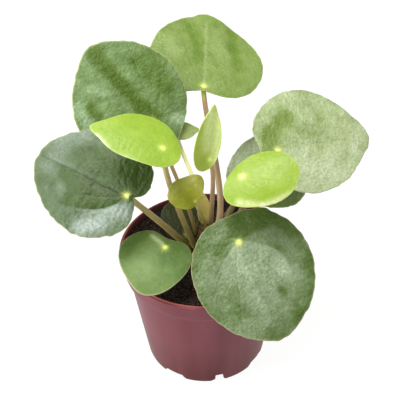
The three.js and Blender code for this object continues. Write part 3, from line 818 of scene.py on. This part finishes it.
# %% Stalk skin
def stalk_skin(name, low, middle, high, joint=None, roughness=0.4):
    """Fleshy stalk: satin skin, with colour that changes from its foot to the blade. joint is
    the colour of its last few mm under the blade, where that differs."""
    material, tree, skin = new_material(name, roughness)
    place = add_node(tree, "Attribute", {"attribute_name": "place"})["Vector"]
    part = add_node(tree, "SeparateXYZ", {}, {0: place})["Z"]
    steps = [(0, 0.4, middle), (0.55, 1, high)]
    if joint:
        steps.append((0.9, 0.95, joint))
    layers = [(add_node(tree, "MapRange", {}, {
        "Value": part, "From Min": start, "From Max": end})[0], linear(over))
        for start, end, over in steps]
    # Lines along the stalk, a few to its girth
    stretched = add_node(tree, "VectorMath", {"operation": "MULTIPLY"}, {
        0: place, 1: (1 / 9, 1.6, 1)})[0]
    lines = add_node(tree, "TexNoise", {}, {
        "Vector": stretched, "Scale": 1, "Detail": 3})["Fac"]
    shade = add_node(tree, "MapRange", {}, {
        "Value": lines, "From Min": 0.35, "From Max": 0.7, "To Max": 0.35})[0]
    layers.append((shade, [0.45 * value for value in linear(low)[:3]] + [1]))
    colour = linear(low)
    for share, over in layers:
        colour = add_node(tree, "Mix", {"data_type": "RGBA"}, {
            0: share, MIX_A: colour, MIX_B: over})[MIX_RESULT]
    tree.links.new(colour, skin.inputs["Base Color"])
    skin.inputs["Subsurface Weight"].default_value = 0.15
    skin.inputs["Subsurface Scale"].default_value = 1 * MM
    bump = add_node(tree, "Bump", {}, {
        "Strength": 0.25, "Distance": 0.2 * MM, "Height": lines})
    tree.links.new(bump["Normal"], skin.inputs["Normal"])
    return material


tan = stalk_skin("fleshy_stalk_tan", "82763a", "b4a262", "c4b474")
dark_tan = stalk_skin("fleshy_stalk_dark_tan", "7c6c38", "9a8450", "8c8048")
pink = stalk_skin("fleshy_stalk_pink", "7a6c40", "b4966e", "bc9a74", joint="b4b84a")
pale = stalk_skin("fleshy_stalk_pale", "e4dc98", "f2f0b0", "eaea9c")
# Three stalks under the leaves get a darker tan: painted shade from the leaves above them
painted_shade_tan = stalk_skin("fleshy_stalk_tan_painted_shade", "544c22", "766a3a", "80763e")
STALK_SKINS = {"top": pink, "folded": pink, "behind": pale, "back_left": dark_tan,
               "right": painted_shade_tan, "lime_right": painted_shade_tan, "low_right": painted_shade_tan}
for name, piece in stalks.items():
    dress(piece, f"stalk_{name}", STALK_SKINS.get(name, tan))
print("stalks that aren't plain tan:", *STALK_SKINS)

# %% [markdown]
# ## The trunk
# The old leaves of a money plant fall and leave oval scars round a short brown trunk. The trunk is
# rolled from a grid as the stalks are, with shallow rings and knobs where those leaves sat.

# %% Trunk piece
TRUNK_IN_SOIL = 18
TRUNK_BOTTOM = SOIL_LEVEL - TRUNK_IN_SOIL + GAP
TRUNK_ROWS = 70


def place_on_trunk(turn, row):
    angle = turn * 2 * np.pi
    steps = np.linspace(TRUNK_BOTTOM, TRUNK_TOP_HEIGHT, TRUNK_ROWS)
    heights = np.concatenate([[TRUNK_BOTTOM], steps, [TRUNK_TOP_HEIGHT]])
    height = heights[row]
    closed = (row > 0) & (row < len(heights) - 1)
    rings = 0.18 * np.sin(height * 1.7 + 1.5 * np.sin(2 * angle))
    # The knobs don't end a turn as they start it, so the seam in front stays open by up to 0.6 mm
    knobs = 0.35 * hills(height, angle * 5, 7, 5) * np.clip(np.minimum(
        (height - SOIL_LEVEL) / 4, (TRUNK_TOP_HEIGHT - height) / 2), 0, 1)
    radius = (trunk_radius(height) + rings + knobs - 0.25) * closed
    part = trunk_part(height)
    middle = TRUNK_FOOT + np.outer(part, TRUNK_TOP - TRUNK_FOOT)
    points = np.column_stack([middle[:, 0] + radius * np.sin(angle),
                              middle[:, 1] - radius * np.cos(angle), height])
    return points, {}


trunk = roll_grid("woody_trunk", 48, TRUNK_ROWS + 2, place_on_trunk)
# Corky bark: matt, in two browns that change every few mm
material, tree, bark = new_material("bark_brown", 0.75)
where = add_node(tree, "TexCoord")["Object"]
rings = add_node(tree, "TexNoise", {}, {
    "Vector": where, "Scale": 1 / (2.5 * MM), "Detail": 4})["Fac"]
colour = add_node(tree, "Mix", {"data_type": "RGBA"}, {
    0: rings, MIX_A: linear("342408"), MIX_B: linear("644c18")})[MIX_RESULT]
tree.links.new(colour, bark.inputs["Base Color"])
bump = add_node(tree, "Bump", {}, {"Distance": 0.5 * MM, "Height": rings})
tree.links.new(bump["Normal"], bark.inputs["Normal"])
dress(trunk, "trunk", material)
print("trunk stands", round(TRUNK_TOP_HEIGHT - SOIL_LEVEL), "mm out of the soil")

# %% [markdown]
# ## The pot
# A nursery pot is pressed from thin plastic: a tapered cup, a band under the rim that lets pots
# nest, and two fine beads round the rim. By hand one would draw a circle and extrude and scale it
# from ring to ring, up the outside, over the rim and down inside. That is done here.

# %% Pot rings
POT = dict(rim=60, height=93.5, base=43, shoulder=54.4, band=57, band_top=59, band_height=16,
           wall=1.5)
POT_SIDES = 192


def pot_profile():
    """Radius and height of each ring, from the underside up the outside, then down inside."""
    top, step = POT["height"], POT["height"] - POT["band_height"]
    base, shoulder, band, band_top, rim, wall = (
        POT[part] for part in ("base", "shoulder", "band", "band_top", "rim", "wall"))
    outside = [(base - 9, 0.6), (base - 7.5, 0), (base - 0.6, 0), (base - 0.15, 0.2), (base, 0.7)]
    outside += [(base + (shoulder - base) * p, step * p) for p in np.linspace(0.04, 0.99, 20)]
    outside += [(shoulder + 0.3, step), (band - 0.6, step + 0.6), (band - 0.1, step + 0.95),
                (band + 0.05, step + 1.4)]
    outside += [(band + (band_top - band) * p, step + 1 + 13 * p) for p in (0.3, 0.5, 0.7, 0.9)]
    lip = [(band_top, top - 2.3), (band_top + 0.3, top - 2.1), (rim, top - 1.7), (rim, top - 1.3),
           (rim - 0.3, top - 1), (rim - 0.7, top - 0.95), (rim - 0.9, top - 1.15),
           (rim - 1.05, top - 0.9), (rim - 1.2, top - 0.35), (rim - 1.5, top - 0.05),
           (rim - 1.9, top), (rim - 2.2, top - 0.3)]
    inside = [(rim - 2.3, top - 1), (rim - 3.4, top - 7.2), (band - wall, step + 2.2),
              (shoulder - wall, step - 0.2)]
    inside += [(base - wall + (shoulder - base) * p, step * p) for p in (0.75, 0.5, 0.25)]
    return outside + lip + inside + [(base - wall + 0.4, 2), (base - 8, 2)]


print("pot rings:", len(pot_profile()))

# %% [markdown]
# Slots are cut through the pot later. Extruding and bevelling number a mesh's parts in a new order
# each time, and a cut depends a little on that order. So pot and cutters are rounded and sorted
# before it, and the cut always comes out the same.

# %% Sort a mesh
def settle(piece):
    """Rounds a piece's corners to a micrometre and sorts its parts by how far from one place they
    are, off every line of symmetry."""
    corners = np.empty(len(piece.data.vertices) * 3)
    piece.data.vertices.foreach_get("co", corners)
    piece.data.vertices.foreach_set("co", corners.round(6))
    bpy.context.scene.cursor.location = (0.3, 0.17, 0.05)
    bpy.ops.object.mode_set(mode="EDIT")
    bpy.ops.mesh.select_all(action="SELECT")
    bpy.ops.mesh.sort_elements(type="CURSOR_DISTANCE", elements={"VERT", "EDGE", "FACE"})
    bpy.ops.object.mode_set(mode="OBJECT")
    bpy.context.scene.cursor.location = (0, 0, 0)


print("3D cursor at", list(bpy.context.scene.cursor.location))

# %% Pot body
def turn_up(name, sides, profile):
    """A closed cup: a circle is extruded and scaled from ring to ring, and both ends are closed."""
    deselect()
    radius, height = profile[0]
    bpy.ops.mesh.primitive_circle_add(vertices=sides, radius=radius * MM,
                                      location=(0, 0, height * MM))
    cup = bpy.context.object
    cup.name = cup.data.name = name
    bpy.ops.object.transform_apply()
    bpy.ops.object.mode_set(mode="EDIT")
    bpy.ops.mesh.select_mode(type="VERT")
    bpy.ops.mesh.select_all(action="SELECT")
    for next_radius, next_height in profile[1:]:
        rise = (0, 0, (next_height - height) * MM)
        bpy.ops.mesh.extrude_region_move(TRANSFORM_OT_translate={"value": rise})
        share = next_radius / radius
        bpy.ops.transform.resize(value=(share, share, 1), center_override=(0, 0, 0))
        radius, height = next_radius, next_height
    bpy.ops.mesh.extrude_region_move()
    bpy.ops.mesh.merge(type="CENTER")
    bpy.ops.mesh.select_all(action="DESELECT")
    bpy.ops.mesh.select_non_manifold()
    bpy.ops.mesh.extrude_region_move()
    bpy.ops.mesh.merge(type="CENTER")
    bpy.ops.mesh.select_all(action="SELECT")
    bpy.ops.mesh.normals_make_consistent(inside=False)
    bpy.ops.object.mode_set(mode="OBJECT")
    settle(cup)
    return cup


pot = turn_up("nursery_pot", POT_SIDES, pot_profile())
print("pot faces before cutting:", len(pot.data.polygons))

# %% [markdown]
# ## Drainage slots
# Eight slots in two sizes run through the pot's bottom corner and let water out. They could be
# left open while the cup is drawn, but that would twist its rings. So a block with rounded corners
# is made for each slot and all of them are taken away from the cup at once.

# %% Slot cutter
FOOT_ROUNDING = 2.4


def slot_cutter(azimuth, width, height, depth, foot, lean):
    """A block through the pot's corner. Its foot widens by foot, so that the pot's feet come out
    rounded, and lean takes more off the left one."""
    deselect()
    bpy.ops.mesh.primitive_cube_add(size=1)
    cutter = bpy.context.object
    cutter.scale = Vector((width, 2 * depth, height - FOOT_ROUNDING)) * MM
    cutter.location.z = (height + FOOT_ROUNDING) / 2 * MM
    bpy.ops.object.transform_apply(scale=True)
    bpy.ops.object.mode_set(mode="EDIT")
    bpy.ops.mesh.select_mode(type="FACE")
    bpy.ops.mesh.select_all(action="DESELECT")
    bpy.ops.object.mode_set(mode="OBJECT")
    for face in cutter.data.polygons:
        face.select = face.normal.z < -0.9
    bpy.ops.object.mode_set(mode="EDIT")
    for drop, widening, shift in ((FOOT_ROUNDING, foot, lean), (3, 3, 0)):
        bpy.ops.mesh.extrude_region_move(
            TRANSFORM_OT_translate={"value": (-shift * MM, 0, -drop * MM)})
        bpy.ops.transform.resize(value=(1 + widening / width, 1, 1))
    bpy.ops.object.mode_set(mode="OBJECT")
    settle(cutter)
    rounded = cutter.modifiers.new("round", "BEVEL")
    rounded.width = 1.1 * MM
    rounded.segments = 4
    bpy.ops.object.modifier_apply(modifier="round")
    settle(cutter)
    out = from_azimuth(azimuth) * POT["base"] * MM
    cutter.location.xy = out[:2]
    cutter.rotation_euler.z = math.radians(azimuth)
    bpy.ops.object.transform_apply()
    return cutter


SLOTS = 8
FIRST_SLOT_AZIMUTH = 12
NARROW_SLOT = dict(width=6, height=7.2, depth=8, foot=5, lean=0.8)
WIDE_SLOT = dict(width=14, height=3.9, depth=6, foot=5, lean=0)
print("slots, mm wide:", NARROW_SLOT["width"], "and", WIDE_SLOT["width"])

# %% Cut the drainage slots
cutters = []
for number in range(SLOTS):
    size = WIDE_SLOT if number % 2 else NARROW_SLOT
    cutters.append(slot_cutter(FIRST_SLOT_AZIMUTH + 360 / SLOTS * number, **size))
deselect()
for cutter in cutters:
    cutter.select_set(True)
bpy.context.view_layer.objects.active = cutters[0]
bpy.ops.object.join()
deselect()
bpy.context.view_layer.objects.active = pot
pot.select_set(True)
cut = pot.modifiers.new("slots", "BOOLEAN")
cut.object = cutters[0]
cut.solver = "EXACT"
bpy.ops.object.modifier_apply(modifier="slots")
bpy.data.objects.remove(cutters[0])
bpy.ops.object.shade_smooth_by_angle(angle=math.radians(40))
print("pot faces after cutting:", len(pot.data.polygons))

# %% [markdown]
# ## Pot plastic
# The pot is coloured polypropylene: a dusky brick red, even all through, with the satin skin of a
# polished mould. Handling leaves fine rubbed marks. Painted into its colour are shade towards the
# foot, long pale streaks down the wall that stand for soft reflections, and a bright lip that
# stands for light glowing through the thin rim.

# %% Pot material
material, tree, plastic = new_material("polypropylene_dusky_red", 0.42, ior=1.49)
plastic.inputs["Specular IOR Level"].default_value = 0.12
where = add_node(tree, "TexCoord")["Object"]
tall = add_node(tree, "Mapping", {}, {
    "Vector": where, "Scale": (1 / (16 * MM), 1 / (16 * MM), 1 / (200 * MM))})[0]
streak_noise = add_node(tree, "TexNoise", {}, {
    "Vector": tall, "Scale": 1, "Detail": 2})["Fac"]
fine = add_node(tree, "TexNoise", {}, {
    "Vector": where, "Scale": 1 / (0.9 * MM), "Detail": 3})["Fac"]
height = add_node(tree, "SeparateXYZ", {}, {0: where})["Z"]
# Painted shade: the colour is darker towards the foot
rise = add_node(tree, "MapRange", {}, {
    "Value": height, "From Min": 2 * MM, "From Max": 40 * MM})[0]
# Painted reflection: long pale streaks down the wall. The same noise varies the roughness
reflection_streak = add_node(tree, "MapRange", {}, {
    "Value": streak_noise, "From Min": 0.42, "From Max": 0.72, "To Max": 0.35})[0]
# Painted light: the lip is brighter and redder, as if lit through the thin plastic and catching the
# lamps
lip = add_node(tree, "MapRange", {}, {
    "Value": height, "From Min": 91.9 * MM, "From Max": 93.3 * MM, "To Max": 0.7})[0]
# Short pale scuffs, a few to a hand's breadth
flat = add_node(tree, "Mapping", {}, {
    "Vector": where, "Scale": (1 / (7 * MM), 1 / (7 * MM), 1 / (1.2 * MM))})[0]
scuffs = add_node(tree, "TexNoise", {}, {
    "Vector": flat, "Scale": 1, "Detail": 1})["Fac"]
scuffs = add_node(tree, "MapRange", {}, {
    "Value": scuffs, "From Min": 0.77, "From Max": 0.84, "To Max": 0.5})[0]
# Painted shade darkens the foot to brown, red above it, with painted reflections in streaks, a
# lip brightened by painted light, and pale scuffs
colour = linear("5a2826")
for share, over in ((rise, "6e3a40"), (reflection_streak, "88525a"), (lip, "a85a50"), (scuffs, "b08080")):
    colour = add_node(tree, "Mix", {"data_type": "RGBA"}, {
        0: share, MIX_A: colour, MIX_B: linear(over)})[MIX_RESULT]
tree.links.new(colour, plastic.inputs["Base Color"])
rough = add_node(tree, "MapRange", {}, {
    "Value": streak_noise, "From Min": 0.3, "From Max": 0.7, "To Min": 0.36, "To Max": 0.48})[0]
tree.links.new(rough, plastic.inputs["Roughness"])
bump = add_node(tree, "Bump", {}, {
    "Strength": 0.1, "Distance": 0.05 * MM, "Height": fine})
tree.links.new(bump["Normal"], plastic.inputs["Normal"])
dress(pot, "pot", material)
print("nodes in the pot's material:", len(tree.nodes))

# %% [markdown]
# ## The soil
# Potting soil is peat, fine bark and fibre that has settled in the pot. It could be a flat disc,
# but its top is seen between the stalks, so a turned body with a rough top gives its mass.

# %% Soil body
SOIL_EDGE = 56.6
SOIL_RINGS = 74
# Radius and height of the rings down the soil's side, a hair inside the pot, and under it
SOIL_SIDE = [(55.2, 80), (52.6, 77.3), (42.4, 8.2), (36, 8.2), (33, 2.3), (0, 2.3)]


def soil_height(x, y):
    """The soil falls towards the back right, rises to the pot's wall and is gently uneven."""
    fall = 2.5 * (x + y) / (2 * POT["shoulder"])
    rise = 4 * (np.hypot(x, y) / SOIL_EDGE) ** 6
    waves = np.sin(x / 7 + 1) * np.cos(y / 8) + np.sin((x - y) / 11)
    return SOIL_LEVEL - fall + rise + 0.4 * waves


def place_on_soil(turn, row):
    angle = turn * 2 * np.pi
    side_radii, side_heights = zip(*SOIL_SIDE)
    radius = np.concatenate([np.linspace(0, SOIL_EDGE, SOIL_RINGS), side_radii])[row]
    x, y = radius * np.sin(angle), -radius * np.cos(angle)
    fades = np.clip((SOIL_EDGE - radius) / 3, 0, 1)
    rough = 0.5 * hills(x, y, 9, 11) + 0.35 * hills(x, y, 3.2, 12) + 0.2 * hills(x, y, 1.6, 13)
    top = soil_height(x, y) + rough * fades - 0.4
    low = np.concatenate([np.zeros(SOIL_RINGS), side_heights])[row]
    height = np.where(row < SOIL_RINGS, top, low)
    return np.column_stack([x, y, height]), {}


soil = roll_grid("soil_body", 240, SOIL_RINGS + len(SOIL_SIDE), place_on_soil)
print("soil in the middle, mm high:", round(soil_height(0, 0), 1))

# %% [markdown]
# The soil's colour is near black where it is wet and red-brown on dry grains, so a noise as fine
# as the grains mixes the two.

# %% Soil material
def soil_material(name, dark, light, grain_mm):
    """Damp potting soil: matt, with drier grains."""
    material, tree, ground = new_material(name, 0.9)
    where = add_node(tree, "TexCoord")["Object"]
    grains = add_node(tree, "TexNoise", {}, {
        "Vector": where, "Scale": 1 / (grain_mm * MM), "Detail": 4, "Roughness": 0.7})
    dry = add_node(tree, "MapRange", {}, {
        "Value": grains["Fac"], "From Min": 0.48, "From Max": 0.72})[0]
    colour = add_node(tree, "Mix", {"data_type": "RGBA"}, {
        0: dry, MIX_A: linear(dark), MIX_B: linear(light)})[MIX_RESULT]
    tree.links.new(colour, ground.inputs["Base Color"])
    bump = add_node(tree, "Bump", {}, {
        "Distance": 0.6 * MM, "Height": grains["Fac"]})
    tree.links.new(bump["Normal"], ground.inputs["Normal"])
    return material


peat = soil_material("damp_peat", "1b1310", "60443a", 1.4)
dress(soil, "soil", peat)
print("nodes in the peat:", len(peat.node_tree.nodes))

# %% [markdown]
# Loose crumbs on the soil give the broken surface that catches the light. A noise alone would look
# smooth from the side, so one crumb is modelled and copied, and each copy is turned, sized and
# squeezed its own way by a seeded draw.

# %% Soil crumbs
CRUMB_EDGE = SOIL_EDGE - 1


def make_crumbs(name, count, smallest, largest, squeeze, seed, material):
    """Copies of one crumb strewn over the soil, joined to one piece."""
    draw = np.random.default_rng(seed)
    deselect()
    bpy.ops.mesh.primitive_ico_sphere_add(subdivisions=1, radius=1)
    crumb = bpy.context.object
    crumb.name = name
    form = np.array([corner.co for corner in crumb.data.vertices])
    faces = [list(face.vertices) for face in crumb.data.polygons]
    copies = []
    for _ in range(count):
        radius, angle = CRUMB_EDGE * math.sqrt(draw.uniform(0.002, 1)), draw.uniform(0, 2 * np.pi)
        x, y = radius * math.sin(angle), -radius * math.cos(angle)
        size = draw.uniform(smallest, largest)
        rough = form * draw.uniform(0.7, 1.2, (len(form), 1)) * [1, draw.uniform(*squeeze), 0.6]
        turned = rough @ np.array(Matrix.Rotation(draw.uniform(0, 6.3), 3, "Z")
                                  @ Matrix.Rotation(draw.uniform(-0.6, 0.6), 3, "X"))
        # Crumbs stay small beside the pot's wall
        size = min(size, 0.9 * (CRUMB_EDGE + 0.5 - radius) + 0.4)
        copies.append(turned * size + [x, y, soil_height(x, y) + draw.uniform(-0.4, 0.3)])
    mesh = bpy.data.meshes.new(name)
    corners = np.concatenate(copies) * MM
    all_faces = [[corner + len(form) * k for corner in face] for k in range(count)
                 for face in faces]
    mesh.from_pydata(corners.tolist(), [], all_faces)
    crumb.data = mesh
    crumb.data.materials.append(material)
    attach(crumb, "root")
    print(name, count)


bark_chips = soil_material("bark_crumbs", "38221a", "7c5040", 1)
pale_grit = soil_material("pale_grit", "8a7a66", "c8bca6", 1)
make_crumbs("soil_crumbs", 2800, 0.5, 1.5, (0.6, 1), 21, peat)
make_crumbs("bark_bits", 700, 0.4, 1.5, (0.3, 0.9), 22, bark_chips)
make_crumbs("grit", 60, 0.3, 0.6, (0.7, 1), 23, pale_grit)

# %% [markdown]
# ## Light and floor
# The photograph is a cut-out on white, lit softly from above and from the left. One area light
# hangs overhead. Three stand on the left: a small one high up that brings out the puckers, a tall
# one at the front, and a low one for the pot. A weak one fills from the right. A pale floor under
# a pale sky throws light back up, as white paper does.

# %% Floor
deselect()
bpy.ops.mesh.primitive_plane_add(size=12)
floor = bpy.context.object
floor.name = "floor"
# Matt white paper, lit a little by itself, so that it stays white in the picture
material, tree, paper = new_material("white_paper_matt", 0.9)
paper.inputs["Base Color"].default_value = linear("626261")
paper.inputs["Specular IOR Level"].default_value = 0.1
paper.inputs["Emission Color"].default_value = linear("ffffff")
paper.inputs["Emission Strength"].default_value = 0.93
floor.data.materials.append(material)
print("floor, m across:", floor.dimensions.x)

# %% Lights
def soft_light(name, place, aim, size, power, tall=1):
    """A round area light of size m and power W at a place, turned to its aim."""
    deselect()
    bpy.ops.object.light_add(type="AREA", location=place)
    light = bpy.context.object
    light.name = name
    light.data.shape = "ELLIPSE"
    light.data.size = size
    light.data.size_y = size * tall
    light.data.energy = power
    light.rotation_euler = (Vector(aim) - Vector(place)).to_track_quat("-Z", "Y").to_euler()
    print(name, power, "W")


PLANT_MIDDLE = (0, 0, 0.15)
soft_light("overhead", (-0.3, 0.1, 1.5), PLANT_MIDDLE, 0.75, 17)
soft_light("left_high", (-1, 0.15, 1.2), PLANT_MIDDLE, 0.3, 4)
soft_light("left_front", (-1.2, -0.55, 0.7), PLANT_MIDDLE, 0.6, 9, tall=1.8)
soft_light("right_fill", (1.3, -0.2, 0.7), PLANT_MIDDLE, 0.9, 3.6)
soft_light("left_low", (-1, -0.3, 0.12), (0, 0, 0.05), 0.4, 4.6)

world = bpy.data.worlds.new("pale_sky")
bpy.context.scene.world = world
world.use_nodes = True
sky = world.node_tree.nodes["Background"]
sky.inputs["Color"].default_value = linear("ffffff")
sky.inputs["Strength"].default_value = 0.5
bpy.context.scene.view_settings.view_transform = "Standard"
